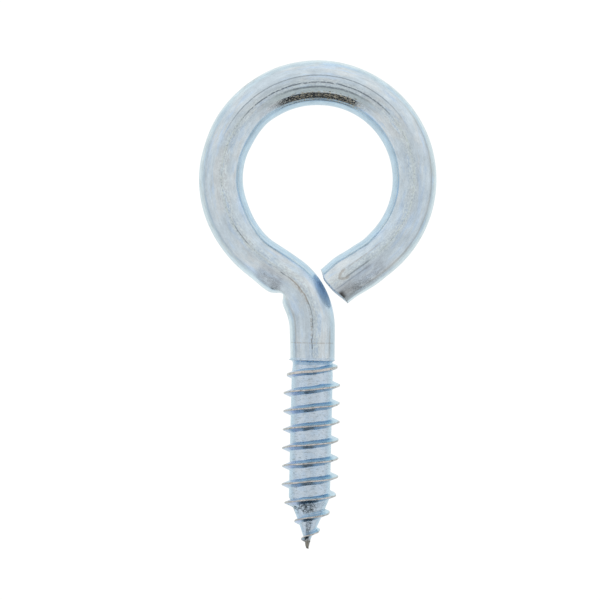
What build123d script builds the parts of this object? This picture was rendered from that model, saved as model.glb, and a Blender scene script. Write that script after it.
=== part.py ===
from build123d import *
import os
from math import cos, pi, radians, sin, tan

# Screw eye: one steel wire, bent into a closed eye, with a rolled wood thread and a gimlet point.
# The frame: Z is the thread's axis and points up to the eye, the eye lies in the XZ plane, and the
# origin is on the axis at the upper end of the thread. Millimetres and degrees.

# Driving dimensions: the wire and its bends
wire_diameter = 6.73
eye_radius = 14.85  # of the wire's centreline
eye_height = 27.4  # of the eye's centre above the origin
neck_slope = 33.6  # how far the strand from the eye to the neck falls below the horizontal
neck_radius = 9.2  # of the bend onto the thread's axis, at the centreline
free_slope = 37.3  # how far the free end falls below the horizontal
free_length = 8.0  # straight length of the free end
cut_round = 0.3  # on the edge of the free end's cut

# Driving dimensions: the thread and the point
root_diameter = 6.37
crest_diameter = 8.64
pitch = 2.79
crest_width = 0.3
flank_angle = 22.5  # of each flank from the plane square to the axis
first_crest = -1.28  # height of the topmost crest where it passes +X
shoulder_depth = 0.3  # below the origin, where the wire's full diameter ends
root_start = 0.9  # depth where the core is down to its root diameter
ridge_start = 0.3  # depth where the ridge begins, still under the surface
ridge_full = 3.4  # depth where the ridge is at its full height
taper_start = 19.4  # depth where the crest leaves its full diameter
taper_length = 10.0  # from there to where the taper would reach the axis
taper_power = 1.55  # how round the crest's taper is
ridge_end = 28.2  # depth where the ridge stops
ridge_sink = 0.25  # how deep the ridge is set into the core
point_start = 21.6  # depth where the core begins to taper
cone_end = 28.0
tip_depth = 29.15
nib_diameter = 0.8  # the blunt nib under the cone
tip_diameter = 0.4
steps_per_turn = 12  # points on the ridge's edges

# Radii, points and directions worked out from them, in the XZ plane
wire_radius = wire_diameter / 2
root_radius = root_diameter / 2
crest_radius = crest_diameter / 2
nib_radius = nib_diameter / 2
tip_radius = tip_diameter / 2
eye_centre = Vector(0, 0, eye_height)
neck_angle = 270 - neck_slope  # where the neck's strand leaves the eye, from +X
free_angle = free_slope - 90  # where the free end leaves the eye, from +X
neck_direction = Vector(cos(radians(neck_slope)), 0, -sin(radians(neck_slope)))
neck_departure = eye_centre + eye_radius * Vector(cos(radians(neck_angle)), 0, sin(radians(neck_angle)))
strand_to_axis = -neck_departure.X / neck_direction.X
bend_setback = neck_radius * tan(radians(90 - neck_slope) / 2)
strand_length = strand_to_axis - bend_setback
shank_top = (neck_departure + strand_to_axis * neck_direction).Z - bend_setback


def core_radius_at(depth):
    """Radius of the shank and the point without the ridge."""
    if depth < shoulder_depth:
        return wire_radius
    if depth < root_start:
        fall = (depth - shoulder_depth) / (root_start - shoulder_depth)
        return wire_radius + (root_radius - wire_radius) * fall
    if depth < point_start:
        return root_radius
    return root_radius + (nib_radius - root_radius) * (depth - point_start) / (cone_end - point_start)


def crest_radius_at(depth):
    """Radius of the ridge's crest: it rises out of the shank, runs level, then follows the point."""
    if depth < ridge_full:
        rise = (depth - ridge_start) / (ridge_full - ridge_start)
        return wire_radius + (crest_radius - wire_radius) * rise * (2 - rise)
    taper = max(0, depth - taper_start) / taper_length
    return crest_radius * (1 - taper**taper_power)


def ridge_corners(turn):
    """The ridge's four corners, this many turns down from the topmost crest at +X."""
    height = first_crest - pitch * turn
    angle = -2 * pi * turn
    crest = crest_radius_at(-height)
    base = core_radius_at(-height) - ridge_sink
    half_base = crest_width / 2 + (crest - base) * tan(radians(flank_angle))
    outline = ((base, half_base), (crest, crest_width / 2), (crest, -crest_width / 2), (base, -half_base))
    return [Vector(radius * cos(angle), radius * sin(angle), height + rise) for radius, rise in outline]


def ridge_tangents(turn):
    """How far the ridge's four corners move in one turn, at this place on it."""
    step = 0.0001
    pairs = zip(ridge_corners(turn - step), ridge_corners(turn + step))
    return [(after - before) / (2 * step) for before, after in pairs]


def ridge_edges(start, end):
    """The ridge's four long edges between two places on it, given in turns."""
    turns = [start + (end - start) * step / steps_per_turn for step in range(steps_per_turn + 1)]
    corners = zip(*[ridge_corners(turn) for turn in turns])
    tangents = zip(ridge_tangents(start), ridge_tangents(end))
    return [Edge.make_spline(c, t, parameters=turns, scale=False) for c, t in zip(corners, tangents)]


def thread_ridge():
    """One closed ridge, from its run-in on the shank to its end on the point, in faces of one turn."""
    first_turn = (ridge_start + first_crest) / pitch
    last_turn = (ridge_end + first_crest) / pitch
    count = round(last_turn - first_turn)
    bounds = [first_turn + (last_turn - first_turn) * i / count for i in range(count + 1)]
    faces = [Face(Wire.make_polygon(ridge_corners(turn), close=True)) for turn in (first_turn, last_turn)]
    for start, end in zip(bounds, bounds[1:]):
        edges = ridge_edges(start, end)
        faces += [Face.make_surface_from_curves(edges[i - 1], edges[i]) for i in range(4)]
    return Solid(Shell(faces))


os.makedirs("parts", exist_ok=True)

# The eye: from the neck's strand round over the top, then the straight free end with its sheared cut
with BuildPart() as eye_ring:
    with BuildLine(Plane.XZ) as eye_path:
        eye_arc = CenterArc(eye_centre, eye_radius, neck_angle, free_angle - neck_angle)
        Line(eye_arc @ 1, eye_arc @ 1 + free_length * (eye_arc % 1))
    with BuildSketch(Plane(origin=eye_path.line @ 0, z_dir=eye_path.line % 0)):
        Circle(wire_radius)
    sweep()
    fillet(eye_ring.faces().sort_by_distance(eye_path.line @ 1)[0].edges(), radius=cut_round)
eye_ring.part.label = "eye_ring"
export_step(eye_ring.part, "parts/eye_ring.step")

# The neck: the strand from the eye, and the bend that brings it onto the thread's axis
with BuildPart() as neck_bend:
    with BuildLine(Plane.XZ) as neck_path:
        strand = Line(neck_departure, neck_departure + strand_length * neck_direction)
        JernArc(strand @ 1, strand % 1, neck_radius, neck_slope - 90)
    with BuildSketch(Plane(origin=neck_path.line @ 0, z_dir=neck_path.line % 0)):
        Circle(wire_radius)
    sweep()
neck_bend.part.label = "neck_bend"
export_step(neck_bend.part, "parts/neck_bend.step")

# The plain shank, down to the upper end of the thread
with BuildPart() as plain_shank:
    with BuildSketch():
        Circle(wire_radius)
    extrude(amount=shank_top)
plain_shank.part.label = "plain_shank"
export_step(plain_shank.part, "parts/plain_shank.step")

# The threaded shank: the wire rolled down to its root diameter, with the ridge standing on it
ridge = thread_ridge()
with BuildPart() as threaded_shank:
    with BuildSketch(Plane.XZ):
        with BuildLine():
            Polyline(
                (0, 0), (wire_radius, 0), (wire_radius, -shoulder_depth),
                (root_radius, -root_start), (root_radius, -point_start), (0, -point_start),
                close=True,
            )
        make_face()
    revolve(axis=Axis.Z)
    add(ridge)
    split(bisect_by=Plane.XY.offset(-point_start), keep=Keep.TOP)
threaded_shank.part.label = "threaded_shank"
export_step(threaded_shank.part, "parts/threaded_shank.step")

# The gimlet point: a cone with a blunt nib, which carries the last turns of the ridge
with BuildPart() as gimlet_point:
    with BuildSketch(Plane.XZ):
        with BuildLine():
            Polyline(
                (0, -point_start), (root_radius, -point_start), (nib_radius, -cone_end),
                (tip_radius, -tip_depth), (0, -tip_depth),
                close=True,
            )
        make_face()
    revolve(axis=Axis.Z)
    add(ridge)
    split(bisect_by=Plane.XY.offset(-point_start), keep=Keep.BOTTOM)
gimlet_point.part.label = "gimlet_point"
export_step(gimlet_point.part, "parts/gimlet_point.step")
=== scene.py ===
"""The looks of a zinc-plated screw eye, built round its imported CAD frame.

One steel wire makes the whole object: an eye, a neck, a plain shank, a rolled wood thread and a point.
Each CAD node is one section of that wire, and one mesh stands for each node. The meshes come from two
formulas, one for the bent wire and one for the thread, so neighbouring sections meet without a seam.
"""
import math

import bmesh
import bpy
import numpy as np
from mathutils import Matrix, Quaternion, Vector


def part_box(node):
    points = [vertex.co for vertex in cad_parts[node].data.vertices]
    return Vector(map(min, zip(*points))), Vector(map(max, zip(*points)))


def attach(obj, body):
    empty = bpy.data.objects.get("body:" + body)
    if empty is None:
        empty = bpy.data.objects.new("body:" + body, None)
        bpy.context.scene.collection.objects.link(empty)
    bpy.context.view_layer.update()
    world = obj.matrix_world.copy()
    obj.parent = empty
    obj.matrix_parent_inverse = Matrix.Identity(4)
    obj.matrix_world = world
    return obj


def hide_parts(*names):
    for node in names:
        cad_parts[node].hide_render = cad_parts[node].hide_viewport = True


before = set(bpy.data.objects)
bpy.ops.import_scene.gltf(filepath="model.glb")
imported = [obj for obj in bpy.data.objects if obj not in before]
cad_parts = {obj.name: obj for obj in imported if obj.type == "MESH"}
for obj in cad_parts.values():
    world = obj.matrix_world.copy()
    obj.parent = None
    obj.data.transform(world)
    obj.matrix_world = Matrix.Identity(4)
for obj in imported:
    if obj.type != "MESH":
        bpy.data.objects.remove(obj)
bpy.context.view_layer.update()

MM = 0.001

# ---------------------------------------------------------------- sizes, from the frame and the design
eye_low, eye_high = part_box("eye_ring")
shank_low, shank_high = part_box("plain_shank")
thread_low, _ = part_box("threaded_shank")
point_low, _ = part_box("gimlet_point")

WIRE_RADIUS = (shank_high.x - shank_low.x) / 2
EYE_RADIUS = (eye_high.x - eye_low.x) / 2 - WIRE_RADIUS  # of the wire's centreline
EYE_HEIGHT = eye_high.z - EYE_RADIUS - WIRE_RADIUS  # of the eye's centre
EYE_OFFSET = 0.14 * MM  # the eye isn't quite centred over the shank
FREE_SLOPE = math.radians(37.3)  # fall of the free end
FREE_LENGTH = 8.0 * MM
NECK_SLOPE = math.radians(33.6)  # fall of the strand from the eye to the neck
NECK_TURN = math.pi / 2 - NECK_SLOPE  # from the strand's heading to the shank's
NECK_RADIUS = 9.2 * MM  # of the bend, at the centreline
NECK_CORNER = NECK_RADIUS * math.tan(NECK_TURN / 2)  # from either end of the bend to its corner
SHANK_LENGTH = shank_high.z
STRAND_LENGTH = (EYE_HEIGHT - SHANK_LENGTH - NECK_CORNER) * math.sin(NECK_SLOPE) - NECK_CORNER

PITCH = 2.79 * MM
FIRST_CREST = -1.28 * MM  # height of the topmost crest at +X
FLANK = math.tan(math.radians(22.5))  # axial run of a flank for each unit that it rises
POINT_TOP = thread_low.z
TIP = point_low.z

AROUND = 144  # vertices round the wire and round the thread
WIRE_STEP = 0.16 * MM  # between rings along the wire
WELD = 0.0005 * MM  # vertices of the thread closer than this become one
ON_PLANE = 0.0002 * MM  # and they count as on a cut's plane within this

# The wire's runs from the cut end to the thread, each a length and a curvature. Seen from the front, and
# followed from the cut end, a positive curvature turns to the left.
RUNS = (
    (FREE_LENGTH, 0.0),
    (EYE_RADIUS * (2 * math.pi - NECK_SLOPE - FREE_SLOPE), 1 / EYE_RADIUS),
    (STRAND_LENGTH, 0.0),
    (NECK_RADIUS * NECK_TURN, -1 / NECK_RADIUS),
    (SHANK_LENGTH, 0.0),
)
RUN_STARTS = np.concatenate([[0.0], np.cumsum([length for length, _ in RUNS])])
CUT_END, _, EYE_END, NECK_START, NECK_END, WIRE_END = RUN_STARTS

# Hand-forming marks on the eye's outer and inner sides: place along the wire, spread and height in mm
OUTER_MARKS = (
    (1.9, 1.6, -0.18), (6.1, 1.8, 0.11), (44.9, 5.0, 0.07), (51.0, 2.5, 0.05), (64.0, 2.5, -0.08),
    (78.0, 4.5, -0.09), (98.0, 3.2, 0.08),
)
INNER_MARKS = (
    (3.0, 1.9, 0.23), (8.3, 1.2, -0.09), (44.9, 5.0, 0.07), (56.0, 2.0, -0.08), (61.3, 2.2, 0.09),
    (73.8, 3.2, 0.13), (82.2, 3.2, -0.20), (87.6, 3.0, -0.05), (92.6, 4.2, -0.17),
)
CREASE = NECK_START + 1.0 * MM  # where the strand was pinched against the bend
CREASE_SAG = 0.4 * MM  # how much further along the wire the crease lies at the front and the back
CREASE_DEPTH = 0.80 * MM
SWELLING_BEFORE = 0.25 * MM  # height of the wire's swelling just before the crease
SWELLING_AFTER = 0.44 * MM

# The shear's cut at the free end
CUT_BULGE = 0.03 * MM  # how far the middle stands out past the nominal plane
CUT_OUTER = 0.68 * MM  # how far the cut was rolled back towards the eye's outer side
CUT_INNER = 0.40 * MM  # and back towards its inner side
CUT_HUMP = 0.12 * MM  # how far it swells between the middle and the inner side
CUT_EDGE = 0.16 * MM  # depth of the rounded edge at the front and the back
CUT_BLEND = 2.5 * MM  # length of wire over which the rings take up the cut's slant
CUT_RIMS = np.concatenate([[0.985, 0.96, 0.93], np.linspace(0.88, 0.06, 16)])  # of the radius

# Profiles of the thread, each as pairs of a depth and a radius in mm. The core's depth counts from the
# shoulder: the full wire, an undercut, the parallel core, and the taper of the point. The crest's counts
# from the thread's start: it rises through a low first turn, stays full, and falls down the point.
CORE_PROFILE = (
    (0, 3.365), (0.05, 3.30), (0.14, 3.14), (0.4, 3.02), (1.0, 3.02), (2.0, 3.15), (20.9, 3.15),
    (27.45, 0.45),
)
CREST_PROFILE = (
    (-0.6, 3.2), (0.1, 3.5), (0.6, 3.7), (1.3, 3.87), (2.6, 3.88), (3.5, 4.22), (4.2, 4.31), (19.4, 4.31),
    (20.8, 4.10), (22.2, 3.78), (23.5, 3.22), (25.0, 2.2), (26.3, 1.84), (27.7, 1.0), (28.2, 0.2),
)
SHOULDER_DEPTH = 0.345 * MM  # where the full wire ends, at the sides
SHOULDER_LEAN = 0.07 * MM  # how much lower it ends at the front, and higher at the back
SHOULDER_LIP = 0.05 * MM
SHOULDER_BURR = 0.20 * MM  # at -X
CREST_HALF = 0.10 * MM  # half the crest's width
CREST_WIDENING = 0.08 * MM  # of that half width in the low first turn
RIDGE_WAVER = 0.035 * MM  # of the ridge, up and down and in its height
RIDGE_FILLET = 0.16 * MM
CREST_ROUNDING = 0.05 * MM
NIB_TOP = 28.1 * MM  # depth at which the bare nib starts
NIB_RADIUS = 0.38 * MM
TIP_LEAN = 0.15 * MM  # the tip isn't quite centred
LEAN_DEPTHS = (25.0 * MM, 27.8 * MM)  # where the lean starts and where it is full

# Offsets of the mesh's rows below a crest, in mm: close on the crest's edges and on the flanks
ROW_OFFSETS = (0, 0.06, 0.11, 0.15, 0.19, 0.24, 0.30, 0.36, 0.42, 0.48, 0.54, 0.60, 0.66, 0.73, 0.82)
FIRST_ROOT_ROW = 0.94  # and then wider apart to the middle of the valley
ROOT_ROWS = 4


# ---------------------------------------------------------------- small helpers
def smoothstep(low, high, x):
    t = np.clip((x - low) / (high - low), 0, 1)
    return t * t * (3 - 2 * t)


def bump(x, centre, width):
    """A smooth bump of height 1."""
    return np.exp(-(((x - centre) / width) ** 2))


def smooth_max(a, b, soft):
    h = np.clip(0.5 + 0.5 * (b - a) / soft, 0, 1)
    return a * (1 - h) + b * h + soft * h * (1 - h)


def smooth_min(a, b, soft):
    return -smooth_max(-a, -b, soft)


def wander(x, count, low, high, seed):
    """A smooth random wave of x, mostly between -1.5 and 1.5, made of a few sines of random frequency."""
    generator = np.random.default_rng(seed)
    rates = generator.uniform(low, high, count)
    shifts = generator.uniform(0, 2 * np.pi, count)
    return sum(np.sin(rate * x + shift) for rate, shift in zip(rates, shifts)) / math.sqrt(count)


def profile_radius(profile, depth):
    """The radius that a profile has at this depth."""
    depths, radii = (np.array(profile) * MM).T
    return np.interp(depth, depths, radii)


# ---------------------------------------------------------------- the bent wire
def run_offset(heading, curve, along):
    """How far a run has gone, across and up, after this length of it."""
    if curve == 0:
        return np.stack([np.cos(heading) * along, np.sin(heading) * along], -1)
    end = heading + curve * along
    return np.stack([np.sin(end) - np.sin(heading), np.cos(heading) - np.cos(end)], -1) / curve


def bend_frames():
    """Start point and heading of each run, placed so that the last run ends at the origin."""
    point, heading = np.zeros(2), FREE_SLOPE
    frames = []
    for length, curve in RUNS:
        frames.append((point, heading))
        point = point + run_offset(heading, curve, length)
        heading += curve * length
    return [(start - point, angle) for start, angle in frames]


FRAMES = bend_frames()


def centreline(s):
    """Point and heading of the wire's centreline in the plane of the eye, at each length s."""
    point, heading = np.zeros(s.shape + (2,)), np.zeros(s.shape)
    index = np.clip(np.searchsorted(RUN_STARTS, s, side="right") - 1, 0, len(RUNS) - 1)
    for i, (_, curve) in enumerate(RUNS):
        here = index == i
        start, angle = FRAMES[i]
        along = s[here] - RUN_STARTS[i]
        point[here] = start + run_offset(angle, curve, along)
        heading[here] = angle + curve * along
    point[..., 0] += EYE_OFFSET * (1 - smoothstep(NECK_START, NECK_END, s))
    return point, heading


def wire_relief(s, around):
    """Height of the surface over a plain round wire: the bending marks, and the crease at the neck.
    around is 0 at the front, and 90 degrees on the eye's outer side, which is the bend's inner side."""
    out = np.sin(around)
    outer, inner = smoothstep(0, 1, out), smoothstep(0, 1, -out)
    relief = np.zeros(np.broadcast(s, around).shape)
    for side, marks in ((outer, OUTER_MARKS), (inner, INNER_MARKS)):
        for place, spread, height in marks:
            relief += side * height * MM * bump(s, place * MM, spread * MM)
    past = s - CREASE - CREASE_SAG * (1 - out)
    before = bump(past, -2.9 * MM, 2.0 * MM)
    pinch = smoothstep(-2.3 * MM, 0, past) * (1 - smoothstep(-0.1 * MM, 1.5 * MM, past))
    after = smoothstep(0.1 * MM, 2.7 * MM, past) * bump(past, 4.0 * MM, 4.6 * MM)
    relief += SWELLING_BEFORE * before * smoothstep(0.5, 1.0, out)
    relief -= CREASE_DEPTH * pinch * smoothstep(0.7, 1.0, out)
    relief += SWELLING_AFTER * after * smoothstep(0.1, 1.0, out)
    return relief


def wire_surface(s, around):
    """Points of the wire's surface at length s and angle around, in the row frame."""
    point, heading = centreline(s)
    radius = WIRE_RADIUS + wire_relief(s, around)
    side = radius * np.sin(around)
    x = point[..., 0] + side * np.sin(heading)
    z = point[..., 1] - side * np.cos(heading)
    return np.stack([x, -radius * np.cos(around), z], -1)


def surface_normals(surface, a, b, step_a, step_b):
    """Unit normals of surface(a, b) by central differences."""
    along_a = surface(a + step_a, b) - surface(a - step_a, b)
    along_b = surface(a, b + step_b) - surface(a, b - step_b)
    normals = np.cross(along_a, along_b)
    return normals / np.maximum(np.linalg.norm(normals, axis=-1, keepdims=True), 1e-20)


def straightened(s, around, radius):
    """Where a surface point lies on the wire before it was bent, in millimetres."""
    return np.stack([radius * np.cos(around), radius * np.sin(around), s], -1) / MM


# ---------------------------------------------------------------- meshes
def make_mesh_object(name, points, faces, normals, data):
    """A mesh object with named vertex attributes and its own corner normals. A face that has a corner
    without a normal, or more than four corners, is shaded flat."""
    mesh = bpy.data.meshes.new(name)
    mesh.from_pydata(points.tolist(), [], faces)
    for key, values in data.items():
        kind, field = ("FLOAT_VECTOR", "vector") if values.ndim == 2 else ("FLOAT", "value")
        attribute = mesh.attributes.new(key, kind, "POINT")
        attribute.data.foreach_set(field, values.astype(np.float32).ravel())
    mesh.shade_smooth()
    flat = np.linalg.norm(normals, axis=1) < 0.5
    loops = np.empty(len(mesh.loops), dtype=np.int64)
    mesh.loops.foreach_get("vertex_index", loops)
    corner_normals = normals[loops].copy()
    for polygon in mesh.polygons:
        corners = slice(polygon.loop_start, polygon.loop_start + polygon.loop_total)
        if flat[loops[corners]].any() or polygon.loop_total > 4:
            corner_normals[corners] = polygon.normal
    mesh.normals_split_custom_set(corner_normals.tolist())
    obj = bpy.data.objects.new(name, mesh)
    bpy.context.scene.collection.objects.link(obj)
    return obj


def tube_faces(rings, around):
    """Quads of a tube of rings, wound outwards."""
    i, j = np.meshgrid(np.arange(rings - 1), np.arange(around), indexing="ij")
    k = (j + 1) % around
    quads = np.stack([i * around + j, (i + 1) * around + j, (i + 1) * around + k, i * around + k], -1)
    return quads.reshape(-1, 4).tolist()


def cut_depth(across, rim):
    """How far back the sheared end lies: across is -1 to 1 from the eye's inner side to its outer side,
    and rim is 0 in the middle and 1 at the edge."""
    rolled = CUT_OUTER * smoothstep(-0.05, 1.05, across) + CUT_INNER * smoothstep(0.45, 1.0, -across)
    rolled -= CUT_HUMP * bump(across, -0.45, 0.35)
    return rolled - CUT_BULGE + CUT_EDGE * smoothstep(0.90, 1, rim) * (1 - across**2)


def wire_section(name, start, end, cut_end=False):
    """One section of the bent wire, closed by a flat cap at each end, or by the sheared face at the cut."""
    count = max(2, round((end - start) / WIRE_STEP))
    lengths = np.linspace(start, end, count + 1)
    angles = np.linspace(-np.pi, np.pi, AROUND, endpoint=False)
    s, around = np.meshgrid(lengths, angles, indexing="ij")
    if cut_end:
        lag = cut_depth(np.sin(around), 1.0)
        s = s + lag * (1 - smoothstep(start, start + CUT_BLEND, s))
    points = wire_surface(s, around).reshape(-1, 3)
    normals = surface_normals(wire_surface, s, around, step_a=0.03 * MM, step_b=0.01).reshape(-1, 3)
    radius = WIRE_RADIUS + wire_relief(s, around)
    straight = straightened(s, around, radius).reshape(-1, 3)
    faces = tube_faces(count + 1, AROUND)
    last = count * AROUND
    faces.append([last + j for j in range(AROUND)][::-1])
    if cut_end:
        points, normals, straight = add_cut_face(points, faces, normals, straight, angles)
    else:
        faces.append(list(range(AROUND)))
    return make_mesh_object(name, points, faces, normals, {"straight": straight})


def add_cut_face(points, faces, normals, straight, angles):
    """Closes a tube with the sheared face, ring by ring from its edge to its middle. The faces are added
    to the list, and the new points, normals and straightened places are given back."""
    rings = []
    for rim in CUT_RIMS:
        side = rim * WIRE_RADIUS * np.sin(angles)
        depth = cut_depth(side / WIRE_RADIUS, rim)
        rings.append(np.stack([side, -rim * WIRE_RADIUS * np.cos(angles), depth], -1))
    rings = np.array(rings)
    start, heading = FRAMES[0]
    forward = np.array([np.cos(heading), 0, np.sin(heading)])
    outward = np.array([np.sin(heading), 0, -np.cos(heading)])
    origin = np.array([start[0], 0, start[1]])
    face_points = origin + rings[..., :1] * outward + rings[..., 2:] * forward
    face_points[..., 1] = rings[..., 1]
    face_points = face_points.reshape(-1, 3)
    base = len(points)
    points = np.vstack([points, face_points, origin])
    normals = np.vstack([normals, np.zeros_like(face_points), np.zeros(3)])
    # the face's places lie past the cut end, which is how the coat knows the bare steel
    flat_straight = np.stack([rings[..., 0], rings[..., 1], rings[..., 2] - 1 * MM], -1).reshape(-1, 3) / MM
    straight = np.vstack([straight, flat_straight, [0, 0, -1]])
    previous = list(range(AROUND))
    for i in range(len(CUT_RIMS)):
        ring = [base + i * AROUND + j for j in range(AROUND)]
        for j in range(AROUND):
            k = (j + 1) % AROUND
            faces.append([previous[j], previous[k], ring[k], ring[j]])
        previous = ring
    middle = len(points) - 1
    faces += [[previous[j], previous[(j + 1) % AROUND], middle] for j in range(AROUND)]
    return points, normals, straight


# ---------------------------------------------------------------- the thread and the point
def core_radius(angle, depth):
    """The shank and the point without the ridge. The full shank ends in a small shoulder, which lies
    lower at the front, and a little undercut follows it."""
    below = depth - (SHOULDER_DEPTH - SHOULDER_LEAN * np.sin(angle))
    core = np.where(below < 0, WIRE_RADIUS, profile_radius(CORE_PROFILE, below))
    lip = SHOULDER_LIP * bump(below, -0.05 * MM, 0.09 * MM)
    burr = SHOULDER_BURR * bump(below, -0.05 * MM, 0.10 * MM) * bump(np.cos(angle), -1, 0.06)
    core = core + (lip + burr) * smoothstep(0, 0.06 * MM, depth)
    nib = np.clip((depth - NIB_TOP) / (-TIP - NIB_TOP), 0, 1)
    return np.maximum(np.where(nib > 0, 0, core), NIB_RADIUS * (1 - 0.4 * nib) * np.sqrt(1 - nib**4))


def thread_radius(angle, z):
    """Radius of the threaded shank at this angle from +X and this height, and the height over the
    nearest crest."""
    offset = z - FIRST_CREST - PITCH * angle / (2 * np.pi)
    turn = np.round(offset / PITCH)
    along = (angle / (2 * np.pi) + turn) * 2 * np.pi  # the same all round the ridge, without a jump
    sway = RIDGE_WAVER * wander(along, count=5, low=1.5, high=7.0, seed=3)
    from_crest = offset - turn * PITCH - sway
    depth = -(z - from_crest)
    uneven = RIDGE_WAVER * wander(along, count=6, low=2.0, high=11.0, seed=4)
    uneven = uneven * smoothstep(1.5 * MM, 4 * MM, depth)
    crest = profile_radius(CREST_PROFILE, depth) + uneven
    half_crest = CREST_HALF + CREST_WIDENING * (1 - smoothstep(2.0 * MM, 3.6 * MM, depth))
    flank = crest - (np.abs(from_crest) - half_crest) / FLANK
    ridge = smooth_min(flank, crest, CREST_ROUNDING)
    return smooth_max(core_radius(angle, -z), ridge, RIDGE_FILLET), from_crest


def thread_surface(angle, z):
    radius, _ = thread_radius(angle, z)
    return np.stack([radius * np.cos(angle), radius * np.sin(angle), z], -1)


def thread_rows():
    """Offsets of one turn's rows below its crest, the same above and below the valley's middle."""
    near = np.array(ROW_OFFSETS) * MM
    half = np.concatenate([near, np.linspace(FIRST_ROOT_ROW * MM, PITCH / 2, ROOT_ROWS)])
    return np.concatenate([half, (PITCH - half[1:-1])[::-1]])


def thread_grid():
    """A strip of quads whose rows follow the thread, from above its start to the tip."""
    offsets = thread_rows()
    rows_per_turn = len(offsets)
    turns = math.ceil((-TIP + 2 * PITCH) / PITCH) + 1
    rows = turns * rows_per_turn
    angles = np.linspace(0, 2 * np.pi, AROUND, endpoint=False)
    turn = np.repeat(np.arange(turns), rows_per_turn)
    row_z = FIRST_CREST + 2 * PITCH - turn * PITCH - np.tile(offsets, turns)
    z = row_z[:, None] + PITCH * angles[None, :] / (2 * np.pi)
    z = np.maximum(z, TIP)
    angle = np.broadcast_to(angles, z.shape)
    i, j = np.meshgrid(np.arange(rows - 1), np.arange(AROUND), indexing="ij")
    wrap = j == AROUND - 1
    right = np.where(wrap, (i - rows_per_turn) * AROUND, i * AROUND + j + 1)
    keep = (i >= rows_per_turn).ravel()
    low = i * AROUND + j + AROUND
    quads = np.stack([i * AROUND + j, low, right + AROUND, right], -1).reshape(-1, 4)[keep]
    return angle.ravel(), z.ravel(), quads


def thread_section(name, top, bottom):
    """The part of the thread between two heights, cut square and capped, or down to the tip."""
    angle, z, quads = thread_grid()
    work = bmesh.new()
    verts = [work.verts.new(point) for point in thread_surface(angle, z)]
    for quad in quads:
        work.faces.new([verts[i] for i in quad])
    bmesh.ops.remove_doubles(work, verts=work.verts[:], dist=WELD)
    for height, outward in ((top, 1), (bottom, -1)):
        if height is None:
            continue
        geometry = work.verts[:] + work.edges[:] + work.faces[:]
        cut = bmesh.ops.bisect_plane(
            work, geom=geometry, plane_co=(0, 0, height), plane_no=(0, 0, outward),
            dist=ON_PLANE, clear_outer=True,
        )
        rim = [e for e in cut["geom_cut"] if isinstance(e, bmesh.types.BMEdge)]
        bmesh.ops.contextual_create(work, geom=rim)
    bmesh.ops.delete(work, geom=[v for v in work.verts if not v.link_faces], context="VERTS")
    bmesh.ops.recalc_face_normals(work, faces=work.faces[:])
    work.verts.ensure_lookup_table()
    points = np.array([v.co[:] for v in work.verts])
    faces = [[v.index for v in f.verts] for f in work.faces]
    work.free()
    angle = np.arctan2(points[:, 1], points[:, 0])
    normals = surface_normals(thread_surface, angle, points[:, 2], step_a=0.004, step_b=0.008 * MM)
    data = thread_data(points, angle)
    points[:, 0] -= TIP_LEAN * smoothstep(*LEAN_DEPTHS, -points[:, 2])
    return make_mesh_object(name, points, faces, normals, data)


def thread_data(points, angle):
    """The thread's attributes: the place on the straight wire, the rise from the core (0) to the crest (1),
    the depth in mm, and 1 on the undersides of the flanks."""
    radius, from_crest = thread_radius(angle, points[:, 2])
    around = np.arctan2(-points[:, 0], -points[:, 1])
    length = WIRE_END - points[:, 2]
    core = core_radius(angle, -points[:, 2])
    crest = profile_radius(CREST_PROFILE, -(points[:, 2] - from_crest))
    rise = np.clip((radius - core) / np.maximum(crest - core, 0.1 * MM), 0, 1)
    return {
        "straight": straightened(length, around, radius),
        "rise": rise,
        "depth": -points[:, 2] / MM,
        "under": smoothstep(-0.02, 0.02, -from_crest / MM),
    }


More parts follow.
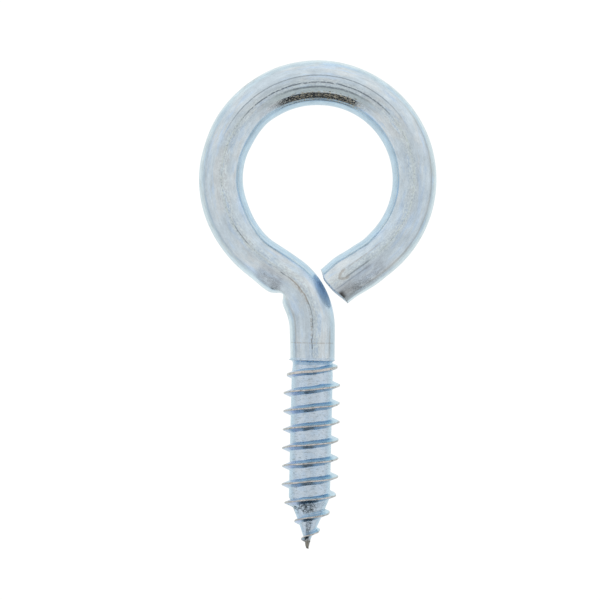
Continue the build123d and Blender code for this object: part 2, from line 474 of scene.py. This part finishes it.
# ---------------------------------------------------------------- materials
class Nodes:
    """A short way to write a node tree. A value is a number, a colour or another node's output."""

    def __init__(self, owner):
        owner.use_nodes = True
        self.tree = owner.node_tree
        self.tree.nodes.clear()

    def add(self, kind, inputs=None, **settings):
        node = self.tree.nodes.new(kind)
        for key, value in settings.items():
            setattr(node, key, value)
        for key, value in (inputs or {}).items():
            self.put(node.inputs[key], value)
        return node

    def put(self, socket, value):
        if isinstance(value, bpy.types.NodeSocket):
            self.tree.links.new(value, socket)
        else:
            socket.default_value = value

    def attribute(self, name, output="Fac"):
        return self.add("ShaderNodeAttribute", attribute_name=name).outputs[output]

    def math(self, operation, *values):
        node = self.add("ShaderNodeMath", operation=operation)
        for socket, value in zip(node.inputs, values):
            self.put(socket, value)
        return node.outputs[0]

    def add_up(self, *values):
        total = values[0]
        for value in values[1:]:
            total = self.math("ADD", total, value)
        return total

    def times(self, *values):
        product = values[0]
        for value in values[1:]:
            product = self.math("MULTIPLY", product, value)
        return product

    def swing(self, noise, *amounts):
        """A noise round 0 instead of round 0.5, times the amounts."""
        return self.times(self.math("SUBTRACT", noise, 0.5), *amounts)

    def less(self, mask):
        """1 where the mask is 0, and 0 where it is 1."""
        return self.math("SUBTRACT", 1.0, mask)

    def degrees(self, side, front):
        """The angle of a direction from the front towards the side."""
        return self.math("DEGREES", self.math("ARCTAN2", side, front))

    def range(self, value, low, high, to_low=0.0, to_high=1.0):
        """Maps value smoothly from one range to another, and holds it at the ends."""
        if low > high:
            low, high, to_low, to_high = high, low, to_high, to_low
        node = self.add("ShaderNodeMapRange", {
            "Value": value, "From Min": low, "From Max": high, "To Min": to_low, "To Max": to_high,
        })
        node.interpolation_type = "SMOOTHSTEP"
        return node.outputs[0]

    def near(self, value, centre, half, soft):
        """1 within half of the centre, falling to 0 over soft."""
        distance = self.math("ABSOLUTE", self.math("SUBTRACT", value, centre))
        return self.range(distance, half + soft, half)

    def mix(self, factor, a, b):
        node = self.add("ShaderNodeMix", data_type="RGBA")
        self.put(node.inputs[0], factor)
        self.put(node.inputs[6], a)
        self.put(node.inputs[7], b)
        return node.outputs[2]

    def paint(self, color, *layers):
        """Lays colours over a colour, each by its mask."""
        for mask, over in layers:
            color = self.mix(mask, color, over)
        return color

    def scale(self, vector, by):
        """A vector or colour times a number or a vector."""
        if isinstance(by, tuple):
            node = self.add("ShaderNodeVectorMath", operation="MULTIPLY")
            self.put(node.inputs[1], by)
        else:
            node = self.add("ShaderNodeVectorMath", operation="SCALE")
            self.put(node.inputs["Scale"], by)
        self.put(node.inputs[0], vector)
        return node.outputs[0]

    def noise(self, vector, stretch, scale, detail, roughness):
        """Noise whose rate is multiplied by stretch on each axis."""
        node = self.add("ShaderNodeTexNoise", {
            "Vector": self.scale(vector, stretch), "Scale": scale, "Detail": detail, "Roughness": roughness,
        })
        return node.outputs[0]

    def split(self, vector):
        node = self.add("ShaderNodeSeparateXYZ")
        self.put(node.inputs[0], vector)
        return node.outputs

    def plate(self, color, roughness, relief):
        """Ends the tree in a metal with this relief, in millimetres."""
        bumps = self.add("ShaderNodeBump", {"Strength": 1.0, "Distance": MM, "Height": relief})
        shader = self.add("ShaderNodeBsdfPrincipled", {
            "Base Color": color, "Metallic": 1.0, "Roughness": roughness, "Normal": bumps.outputs[0],
        })
        self.add("ShaderNodeOutputMaterial", {"Surface": shader.outputs[0]})


ZINC = (0.62, 0.715, 0.785, 1)
BLUE_ZINC = (0.57, 0.695, 0.83, 1)
BEIGE_ZINC = (0.655, 0.71, 0.74, 1)
GREEN_ZINC = (0.67, 0.755, 0.775, 1)
DULL_ZINC = (0.47, 0.52, 0.58, 1)
# painted reflection: a dimmer green over the top of the eye
SHADE_GREEN = (0.40, 0.48, 0.47, 1)
LINE_GREY = (0.20, 0.24, 0.28, 1)
LINE_BROWN = (0.38, 0.34, 0.29, 1)
# blue of the painted reflection lines
REFLECTION_LINE_BLUE = (0.38, 0.55, 0.75, 1)
LINE_PALE = (0.78, 0.87, 0.84, 1)
# painted shade on the eye's inner side, and painted light on its outer side
SHADED_RIM_BLUE = (0.585, 0.725, 0.84, 1)
LIT_RIM_PALE = (0.76, 0.835, 0.87, 1)
# painted reflection of the cut end on the neck
REFLECTION_PATCH_BLUE = (0.46, 0.68, 0.95, 1)
# painted tint of the glints in the reflected dark crescent
GLINT_GOLD = (0.50, 0.40, 0.22, 1)
CUT_STEEL = (0.78, 0.85, 0.92, 1)
BRUISE = (0.33, 0.34, 0.345, 1)
SMUDGE = (0.05, 0.047, 0.045, 1)

EYE_TOP = (FREE_LENGTH + EYE_RADIUS * (math.pi - FREE_SLOPE)) / MM  # place of the eye's top along the wire


class WireCoat(Nodes):
    """The zinc coat of the bent wire. Angles go round the wire in degrees: 0 is the front and 90 the
    eye's outer side. Places along it are in millimetres from the cut end."""

    def __init__(self, material):
        super().__init__(material)
        place = self.attribute("straight", "Vector")
        front, side, self.along = self.split(place)
        self.angle = self.degrees(side, front)

        # noises drawn out along the wire, from fine ones to broad ones
        self.streak = self.noise(place, (1, 1, 0.05), 4.2, 3, 0.6)
        self.grain = self.noise(place, (1, 1, 0.7), 4.6, 2, 0.6)
        self.speckle = self.noise(place, (1, 1, 0.6), 4.5, 1, 0.5)
        self.spark = self.noise(place, (1, 1, 0.4), 7.5, 1, 0.5)
        self.mottle = self.noise(place, (1, 1, 0.5), 2.2, 4, 0.7)
        self.cloud = self.noise(place, (1, 1, 0.55), 1.2, 2, 0.6)
        self.tone = self.noise(place, (1, 1, 0.2), 1.1, 3, 0.6)
        self.blotch = self.noise(place, (1, 1, 0.4), 0.45, 3, 0.6)
        # and one that changes along the wire, but hardly round it
        self.wander = self.swing(self.noise(place, (0.1, 0.1, 1), 0.6, 3, 0.5))

        self.centre_zone = self.near(self.angle, -7, 5, 13)
        self.over_top = self.stretch(EYE_TOP - 12, EYE_TOP + 13, 4)
        self.under_top = self.stretch(EYE_TOP - 7.4, EYE_TOP + 6.4, 2.5)
        # under the top on the inner side, where the tent's dark gap is reflected as a dark crescent
        self.inner_zone = self.times(self.near(self.angle, -41, 13, 4), self.under_top)
        self.cut_face = self.range(self.along, -0.2, -0.35)

    def stretch(self, start, end, soft):
        """1 between two places along the wire."""
        begun = self.range(self.along, start - soft, start + soft)
        unfinished = self.range(self.along, end + soft, end - soft)
        return self.times(begun, unfinished)

    def patch(self, across, along):
        """1 on a patch of the surface. across is an angle, its half width and its soft edge, and along is
        a start, an end and a soft edge."""
        return self.times(self.near(self.angle, *across), self.stretch(*along))

    def line(self, centre, half, soft, sway):
        """A line along the wire at a constant angle, a little unsteady."""
        return self.near(self.math("SUBTRACT", self.angle, self.times(self.wander, sway)), centre, half, soft)


def ridge_line(n):
    """The faint line down the middle of the eye's two sides."""
    sides = n.add_up(n.stretch(8, EYE_TOP - 13, 3), n.stretch(EYE_TOP + 13, 84, 3))
    return n.times(n.line(-3, 1.3, 2.4, 4), sides)


def top_lines(n):
    """Three fine broken lines, left by a bending tool. The first runs along the whole wire, and the others
    only over the top of the eye."""
    centre = n.times(n.line(-4.2, 0.9, 1.5, 3), n.range(n.grain, 0.31, 0.49))
    second = n.times(n.line(-15.8, 1.4, 2.0, 3), n.range(n.grain, 0.29, 0.49), n.under_top)
    over = n.stretch(EYE_TOP - 13, EYE_TOP + 16, 4)
    third = n.times(n.line(14.5, 0.7, 1.6, 2), n.range(n.grain, 0.26, 0.48), over)
    return centre, second, third


def worn_patches(n):
    """Where the coat is dull: pressed on the free end, pinched at the neck, and in a patch on either side of
    the top.
    """
    pressed = n.patch((34, 26, 8), (-3, 8.8, 1.6))
    pinched = n.patch((34, 20, 10), (83.6, 87.9, 0.9))
    left_dull_patch = n.times(n.patch((-26, 16, 8), (EYE_TOP + 8.0, EYE_TOP + 11.8, 0.9)), 0.55)
    right_dull_patch = n.times(n.patch((-20, 14, 10), (EYE_TOP - 10.6, EYE_TOP - 7.0, 0.9)), 0.5)
    patches = n.add_up(pressed, pinched, left_dull_patch, right_dull_patch)
    return n.times(patches, n.range(n.mottle, 0.35, 0.62, 0.3, 1.0))


def dark_lines(n, tool_lines, ridge, neck_line, neck_stain):
    """All the grey lines: over the top, down the sides, on the strand and the neck, and on the free end."""
    centre, second, third = tool_lines
    neck = n.times(
        neck_line, n.range(n.grain, 0.35, 0.55, 0.25, 0.85), n.range(n.wander, -0.12, 0.06, 0.25, 1.0),
        n.range(neck_stain, 0, 1, 1, 0.35),
    )
    return n.add_up(
        n.times(centre, n.range(n.over_top, 0, 1, 0.10, 0.95)),
        n.times(second, 0.85),
        n.times(third, 0.62),
        n.times(ridge, n.range(n.speckle, 0.50, 0.60), n.range(n.grain, 0.42, 0.58), 0.45),
        n.times(n.line(-5, 0.6, 1.5, 3), n.stretch(76.2, 80.0, 0.8), 0.55),
        neck,
        n.times(n.line(-2, 1.0, 2.0, 4), n.stretch(2.6, 7.0, 0.6), 0.6),
        n.times(n.line(9, 0.8, 2.0, 4), n.stretch(0.6, 6.4, 0.6), 0.4),
    )


def brown_marks(n, neck_line, neck_stain):
    """Thin brown lines, the ring-shaped stain on the free end, the stain on the neck's line, specks beside
    the top, and the scratch across the shank."""
    from_middle = n.times(n.math("ADD", n.angle, 10.5), 0.085)
    from_centre = n.math("SUBTRACT", n.along, 2.8)
    distance = n.math("SQRT", n.add_up(n.math("POWER", from_middle, 2.0), n.math("POWER", from_centre, 2.0)))
    ring = n.near(n.add_up(distance, n.swing(n.cloud, 0.8)), 0.9, 0.10, 0.32)
    scratch = n.near(n.along, n.add_up(99.15, n.times(n.wander, 0.6)), 0.04, 0.14)
    specks = n.times(n.near(n.angle, 74, 8, 8), n.near(n.along, EYE_TOP + 9.7, 0.9, 0.9))
    return n.add_up(
        n.times(n.line(48, 1.2, 3.5, 5), n.stretch(3, EYE_TOP - 13, 4), 0.30),
        n.times(n.line(50, 0.8, 2.5, 4), n.stretch(92, 101, 2), 0.28),
        n.times(n.line(-49, 0.8, 2.5, 3), n.stretch(97, 101, 1), 0.35),
        n.times(n.patch((5, 1.2, 3), (89, 99, 2)), n.range(n.grain, 0.45, 0.6), 0.55),
        n.times(n.line(-21, 0.8, 2.2, 4), n.stretch(3.0, 10, 1.0), n.range(n.grain, 0.35, 0.55), 0.45),
        n.times(ring, n.range(n.along, 3.6, 2.6), 0.5),
        n.times(neck_line, neck_stain, 0.7),
        n.times(specks, n.range(n.speckle, 0.46, 0.56), 0.5),
        n.times(scratch, n.near(n.angle, 4, 66, 8), n.range(n.speckle, 0.38, 0.58), 0.5),
    )


def wire_light(n):
    """How much lighter or darker than its colour each place is: random changes of tone, and painted light and
    shade on some stretches.
    """
    off_top = n.less(n.under_top)
    return n.add_up(
        1.0,
        n.swing(n.streak, 0.26),
        n.swing(n.speckle, n.range(n.centre_zone, 0, 1, 0.16, 0.50)),
        n.swing(n.blotch, 0.30),
        n.swing(n.cloud, 0.42),
        # painted light: a lighter line along the inner side, away from the top
        n.times(n.patch((-46.5, 1.5, 5.5), (4, 96, 3)), off_top, 0.13),
        # painted shade on the strand's inner side near the crease
        n.times(n.patch((-30, 8, 8), (81, 86.5, 1.5)), -0.09),
        # painted light on the strand's outer side near the crease
        n.times(n.patch((62, 16, 8), (81, 86.5, 1.5)), 0.09),
        # painted light on the shank's outer side
        n.times(n.patch((66, 12, 6), (94, 103, 1.5)), 0.10),
    )


def wire_zinc():
    """Bright zinc with a pale blue passivate, drawn along the wire and marked by the bending tools, with
    painted reflections, shade and light on the eye, the neck and the shank.
    """
    material = bpy.data.materials.new("zinc_wire")
    n = WireCoat(material)
    ridge = ridge_line(n)
    tool_lines = top_lines(n)
    worn = worn_patches(n)
    neck_line = n.times(n.line(1.5, 0.7, 1.8, 9), n.stretch(84.6, 100.9, 0.8))
    neck_stain = n.stretch(88.2, 92.6, 1.2)

    green = n.times(n.centre_zone, n.range(n.speckle, 0.42, 0.62), 0.7)
    # painted reflection: a dimmer green band just above the dark crescent, over the top
    dim_band_beside_top = n.times(n.patch((-21, 5, 6), (EYE_TOP - 9.5, EYE_TOP + 10, 2.5)), 0.55)
    # painted reflection: the dark crescent under the top carried on as a grey line along its lower edge
    reflected_crescent_edge = n.times(n.near(n.angle, -46.5, 2.0, 3.0), n.under_top, 0.5)
    # painted shade: the eye's inner side bluer and dimmer where the ring shades it, stronger on the eye than
    # on the shank
    shaded_inner_rim = n.times(n.near(n.angle, -74, 16, 8), n.range(n.along, 96, 90, 0.25, 0.75))
    # painted light: the eye's outer side paler
    lit_outer_rim = n.times(n.near(n.angle, 78, 12, 8), 0.8)
    # dull gold painted on the glints in the reflected dark crescent under the top
    crescent_glint_gold = n.times(n.range(n.spark, 0.54, 0.60), n.inner_zone, 0.75)
    bruise = n.times(n.near(n.angle, 40, 20, 10), n.range(n.along, 4.6, 1.6))
    bruise = n.times(bruise, n.range(n.cloud, 0.35, 0.6, 0.4, 1), 0.75)
    # painted reflections: blue lines along the eye's inner side, where the opposite wire and its shade are
    # mirrored, and along the outer side of the eye's left half
    reflected_blue_lines = n.add_up(
        n.times(n.line(-58, 1.2, 4.0, 3), n.stretch(-3, 92, 3), n.add_up(0.20, n.times(n.over_top, 0.22))),
        n.times(n.line(48, 1.5, 4.5, 5), n.stretch(EYE_TOP + 12, 84, 4), 0.22),
    )
    # painted reflection: the cut end's blue image on the neck's inner side, kept soft by more roughness
    reflected_cut_end_patch = n.patch((-66, 22, 22), (90.6, 94.0, 1.5))
    smudge = n.times(n.near(n.angle, 33, 6, 12), n.range(n.along, 1.4, 0.5))
    smudge = n.times(smudge, n.range(n.mottle, 0.30, 0.45), 0.95)

    color = n.paint(
        ZINC,
        (n.range(n.blotch, 0.44, 0.62), BEIGE_ZINC),
        (n.range(n.tone, 0.48, 0.68), BLUE_ZINC),
        (green, GREEN_ZINC),
        (dim_band_beside_top, SHADE_GREEN),
        (reflected_crescent_edge, LINE_GREY),
        (n.times(ridge, n.range(n.speckle, 0.52, 0.44), 0.8), LINE_PALE),
        (shaded_inner_rim, SHADED_RIM_BLUE),
        (lit_outer_rim, LIT_RIM_PALE),
        (crescent_glint_gold, GLINT_GOLD),
        (n.times(worn, 0.72), DULL_ZINC),
        (bruise, BRUISE),
        (dark_lines(n, tool_lines, ridge, neck_line, neck_stain), LINE_GREY),
        (n.times(n.patch((50, 10, 8), (93, 102, 2)), 0.18), LINE_GREY),
        (brown_marks(n, neck_line, neck_stain), LINE_BROWN),
        (reflected_blue_lines, REFLECTION_LINE_BLUE),
        (n.times(reflected_cut_end_patch, 0.7), REFLECTION_PATCH_BLUE),
        (smudge, SMUDGE),
        (n.cut_face, CUT_STEEL),
    )
    rough = n.add_up(
        n.range(n.streak, 0.3, 0.7, 0.13, 0.20),
        n.times(n.inner_zone, -0.06),
        n.times(worn, 0.15),
        n.times(n.cut_face, 0.4),
        n.times(reflected_cut_end_patch, 0.3),
    )
    centre, second, third = tool_lines
    relief = n.add_up(
        n.times(n.streak, 0.007),
        n.times(n.grain, n.range(n.centre_zone, 0, 1, 0.003, 0.012)),
        n.times(n.mottle, worn, 0.02),
        n.times(n.add_up(n.times(centre, 0.8), second, third), -0.012),
        n.times(n.range(n.spark, 0.58, 0.66), n.inner_zone, 0.035),
    )
    n.plate(n.scale(color, wire_light(n)), rough, relief)
    return material


ROOT_ZINC = (0.62, 0.72, 0.82, 1)
ROOT_GREY = (0.36, 0.42, 0.45, 1)
# painted light: paler cyan towards the thread's sides
SIDE_CYAN = (0.62, 0.79, 0.90, 1)
# painted shade and light on the thread's flanks
FLANK_SHADE_BLUE = (0.17, 0.37, 0.59, 1)
FLANK_HIGHLIGHT_BLUE = (0.52, 0.72, 0.82, 1)
UNDERSIDE_SHADE_BLUE = (0.26, 0.42, 0.58, 1)
FLANK_DARK = (0.065, 0.09, 0.11, 1)
FLANK_VIOLET = (0.57, 0.61, 0.86, 1)
CREST_WARM = (0.68, 0.655, 0.63, 1)
CREST_GREY = (0.50, 0.49, 0.47, 1)
EDGE_BROWN = (0.22, 0.20, 0.18, 1)
NIB_BROWN = (0.24, 0.225, 0.19, 1)


class ThreadCoat(Nodes):
    """The zinc coat of the thread. Depths are in millimetres below the thread's start. facing is the angle
    round the thread from the front, and turned is 0 at the front and the back and 90 at both sides."""

    def __init__(self, material):
        super().__init__(material)
        self.place = self.attribute("straight", "Vector")
        self.rise = self.attribute("rise")
        self.depth = self.attribute("depth")
        self.under = self.attribute("under")
        self.front, side, _ = self.split(self.place)
        self.facing = self.degrees(side, self.front)
        self.turned = self.degrees(self.math("ABSOLUTE", side), self.math("ABSOLUTE", self.front))
        self.grain = self.noise(self.place, (1, 1, 1.4), 2.8, 3, 0.65)
        self.dash = self.noise(self.place, (0.8, 0.8, 3.2), 1.7, 2, 0.6)
        self.blotch = self.noise(self.place, (1, 1, 1), 0.9, 3, 0.6)
        self.patchy_noise = self.noise(self.place, (1, 1, 1.3), 1.7, 2, 0.6)
        self.cone = self.range(self.depth, 21.0, 22.2)


def dark_veins(n):
    """Dark veins on the upper part of the point."""
    shift = n.add("ShaderNodeTexNoise", {"Vector": n.place, "Scale": 2.0}).outputs[1]
    moved = n.add("ShaderNodeVectorMath", {0: n.place, 1: n.scale(shift, 0.5)}, operation="ADD").outputs[0]
    cells = n.add("ShaderNodeTexVoronoi", {"Vector": moved, "Scale": 1.25}, feature="DISTANCE_TO_EDGE")
    return n.times(
        n.range(cells.outputs[0], 0.13, 0.05), n.cone, n.range(n.depth, 24.0, 23.2),
        n.range(n.dash, 0.3, 0.5, 0.3, 1), n.range(n.facing, -35, 15, 0.3, 1), 0.95,
    )


def front_dark_patches(n):
    """Two dark patches on the front of the point."""
    upper = n.times(n.near(n.facing, -2, 12, 22), n.near(n.depth, 22.8, 0.4, 0.4))
    upper = n.times(upper, n.range(n.patchy_noise, 0.45, 0.56), 0.75)
    lower = n.times(n.near(n.facing, 0, 10, 25), n.range(n.depth, 24.4, 25.4))
    lower = n.times(lower, n.range(n.patchy_noise, 0.46, 0.56), 0.6)
    return n.times(n.add_up(upper, lower), 0.85)


def flank_color(n):
    """Blue flanks in painted shade: paler up the ridge as a painted highlight, paler at the sides as painted
    light, darker below as painted shade with a dark spot in front that is a painted reflection, and violet in
    places on one side."""
    upper = n.mix(n.range(n.rise, 0.25, 0.75), FLANK_SHADE_BLUE, FLANK_HIGHLIGHT_BLUE)
    pale_ends = n.add_up(n.range(n.depth, 21.0, 22.0, 0, 0.6), n.range(n.depth, 3.4, 2.4, 0, 0.3))
    upper = n.mix(pale_ends, upper, SIDE_CYAN)
    # painted reflection: dark spots on the lower flanks in front
    turn_spot = n.times(
        n.near(n.facing, 5.5, 7, 11), n.range(n.depth, 3, 6, 0.3, 0.9), n.range(n.depth, 21.2, 20.2),
    )
    point_spot = n.times(
        n.near(n.facing, 4, 22, 16), n.range(n.depth, 20.2, 21.2), n.range(n.depth, 24.5, 22.5, 0.5, 0.62),
    )
    reflected_dark_spot = n.times(n.add_up(turn_spot, point_spot), n.range(n.grain, 0.3, 0.5, 0.7, 1.0))
    color = n.mix(n.under, upper, n.mix(reflected_dark_spot, UNDERSIDE_SHADE_BLUE, FLANK_DARK))
    violet = n.times(n.range(n.facing, 18, 50), n.range(n.blotch, 0.36, 0.52), 0.75)
    return n.paint(color, (n.range(n.turned, 52, 72, 0.0, 0.8), SIDE_CYAN), (violet, FLANK_VIOLET))


def crest_color(n):
    """Worn crests, warm or grey, with dark nicks."""
    warm = n.add_up(n.range(n.patchy_noise, 0.42, 0.58), n.range(n.depth, 3.4, 2.4, 0, 0.5))
    return n.paint(CREST_GREY, (warm, CREST_WARM), (n.range(n.grain, 0.44, 0.30), EDGE_BROWN))


def thread_zinc():
    """The same zinc on the rolled thread: bluer on the ridge's flanks, with painted shade and light there,
    worn warm along its crest.
    """
    material = bpy.data.materials.new("zinc_thread")
    n = ThreadCoat(material)

    grey = n.times(
        n.range(n.dash, 0.52, 0.68), n.range(n.blotch, 0.35, 0.55, 0.35, 0.8), n.range(n.cone, 0, 1, 1, 0.35),
    )
    # the flanks' painted shade and light, weaker at the sides and on the point
    flank = n.times(
        n.range(n.rise, 0.04, 0.22), n.range(n.rise, 0.97, 0.88), n.range(n.turned, 45, 75, 0.95, 0.6),
        n.range(n.cone, 0, 1, 1.0, 0.92),
    )
    crest = n.range(n.rise, 0.91, 0.985)
    crest_edge = n.times(
        n.near(n.rise, 0.91, 0.02, 0.05), n.range(n.grain, 0.35, 0.6),
        n.add_up(n.range(n.depth, 2.2, 3.6, 0.4, 0.3), n.times(n.under, 0.3)),
    )
    # painted shade: the undercut below the shoulder in the flanks' shade blue, at the front and the back
    shaded_undercut = n.times(
        n.near(n.depth, 0.74, 0.24, 0.16), n.range(n.turned, 75, 50), n.range(n.dash, 0.3, 0.5, 0.5, 1), 0.5,
    )
    shoulder = n.near(n.depth, n.add_up(0.325, n.times(n.front, 0.021)), 0.03, 0.06)
    nib = n.times(n.range(n.depth, 27.3, 28.15), n.range(n.grain, 0.3, 0.5, 0.5, 1))

    color = n.paint(
        ROOT_ZINC,
        (n.range(n.blotch, 0.42, 0.62), BLUE_ZINC),
        (grey, ROOT_GREY),
        # painted light: the roots paler cyan towards the sides
        (n.times(n.range(n.turned, 55, 75), 0.6), SIDE_CYAN),
        (dark_veins(n), FLANK_DARK),
        # dark patches on the front of the point
        (front_dark_patches(n), FLANK_DARK),
        (flank, flank_color(n)),
        (crest, crest_color(n)),
        (crest_edge, EDGE_BROWN),
        (shaded_undercut, FLANK_SHADE_BLUE),
        (n.times(shoulder, n.range(n.grain, 0.35, 0.55), 0.4), EDGE_BROWN),
        (nib, NIB_BROWN),
    )
    color = n.scale(color, n.add_up(1.0, n.swing(n.grain, 0.5)))
    relief = n.add_up(n.times(n.grain, 0.018), n.times(n.dash, 0.022))
    n.plate(color, n.range(n.grain, 0.3, 0.7, 0.16, 0.30), relief)
    return material


# ---------------------------------------------------------------- the pieces
wire_coat = wire_zinc()
thread_coat = thread_zinc()

SECTIONS = (
    ("eye_ring", wire_section("eye_ring_wire", CUT_END, EYE_END, cut_end=True)),
    ("neck_bend", wire_section("neck_bend_wire", EYE_END, NECK_END)),
    ("plain_shank", wire_section("plain_shank_wire", NECK_END, WIRE_END)),
    ("threaded_shank", thread_section("rolled_thread", 0.0, POINT_TOP)),
    ("gimlet_point", thread_section("gimlet_tip", POINT_TOP, None)),
)
for node, piece in SECTIONS:
    threaded = node in ("threaded_shank", "gimlet_point")
    piece.data.materials.append(thread_coat if threaded else wire_coat)
    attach(piece, "root")
    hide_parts(node)


# ---------------------------------------------------------------- world, floor and camera
FLOOR_RADIUS = 0.5
FLOOR_DROP = 0.06  # below the tip
CAMERA_DISTANCE = 400 * MM
CAMERA_HEIGHT = 1 * MM
CAMERA_ROLL = math.radians(-1.35)
AIM = Vector((-2.14 * MM, 0, 8.84 * MM))
VIEW_WIDTH = 91.92 * MM  # seen at the part
SENSOR_WIDTH = 36


def studio_world():
    """White to the camera. The metal sees a light tent: dimmer in front, brighter above, slightly cyan
    behind, with a fainter band at the sides and a dark gap below the part."""
    world = bpy.data.worlds.new("light_tent")
    n = Nodes(world)
    x, y, z = n.split(n.add("ShaderNodeTexCoord").outputs["Generated"])
    away = n.math("DEGREES", n.math("ARCCOSINE", n.times(y, -1.0)))  # angle from the camera's side
    turn = n.degrees(x, n.times(z, -1.0))  # 0 is down, positive to the right
    upward = n.range(z, 0.1, 0.8)

    level = n.add_up(n.range(away, 10, 60, 0.76, 0.86), n.times(upward, 0.10))
    side_band = n.times(n.range(away, 82, 93), n.range(away, 116, 102), n.less(upward))
    gap = n.times(n.near(away, 79.8, 26.6, 0.6), n.near(turn, 1.7, 28.8, 0.8))
    level = n.times(level, n.less(n.times(side_band, 0.13)), n.less(n.times(gap, 0.94)))
    color = n.mix(n.range(away, 88, 112), (1.0, 1.0, 1.0, 1), (0.94, 1.01, 1.02, 1))
    tent = n.add("ShaderNodeBackground", {"Color": color, "Strength": level})
    white = n.add("ShaderNodeBackground", {"Color": (1, 1, 1, 1), "Strength": 1.05})
    seen = n.add("ShaderNodeLightPath").outputs["Is Camera Ray"]
    both = n.add("ShaderNodeMixShader", {0: seen, 1: tent.outputs[0], 2: white.outputs[0]})
    n.add("ShaderNodeOutputWorld", {"Surface": both.outputs[0]})
    bpy.context.scene.world = world


def lay_floor():
    """A plain pale floor, well below the tip, and clear when it is seen from underneath."""
    mesh = bpy.data.meshes.new("floor")
    angles = np.linspace(0, 2 * np.pi, 96, endpoint=False)
    rim = [(FLOOR_RADIUS * math.cos(a), FLOOR_RADIUS * math.sin(a), TIP - FLOOR_DROP) for a in angles]
    mesh.from_pydata(rim, [], [list(range(len(rim)))])
    floor = bpy.data.objects.new("floor", mesh)
    bpy.context.scene.collection.objects.link(floor)
    material = bpy.data.materials.new("pale_floor")
    n = Nodes(material)
    shader = n.add("ShaderNodeBsdfPrincipled", {
        "Base Color": (0.9, 0.9, 0.9, 1), "Roughness": 0.9,
        "Emission Color": (1, 1, 1, 1), "Emission Strength": 0.12,
    })
    below = n.add("ShaderNodeNewGeometry").outputs["Backfacing"]
    clear = n.add("ShaderNodeBsdfTransparent")
    either = n.add("ShaderNodeMixShader", {0: below, 1: shader.outputs[0], 2: clear.outputs[0]})
    n.add("ShaderNodeOutputMaterial", {"Surface": either.outputs[0]})
    mesh.materials.append(material)
    floor.visible_glossy = False


def place_camera():
    """A long lens in front of the part, level with its shank, tilted up and rolled as the part hangs."""
    data = bpy.data.cameras.new("camera")
    camera = bpy.data.objects.new("camera", data)
    bpy.context.scene.collection.objects.link(camera)
    camera.location = Vector((AIM.x, -CAMERA_DISTANCE, CAMERA_HEIGHT))
    data.sensor_width = SENSOR_WIDTH
    data.lens = SENSOR_WIDTH * (AIM - camera.location).length / VIEW_WIDTH
    data.clip_start = 0.01
    data.clip_end = 20
    look = (AIM - camera.location).normalized()
    camera.rotation_mode = "QUATERNION"
    camera.rotation_quaternion = Quaternion(look, CAMERA_ROLL) @ look.to_track_quat("-Z", "Y")
    bpy.context.scene.camera = camera


studio_world()
lay_floor()
place_camera()
bpy.context.scene.view_settings.view_transform = "Standard"
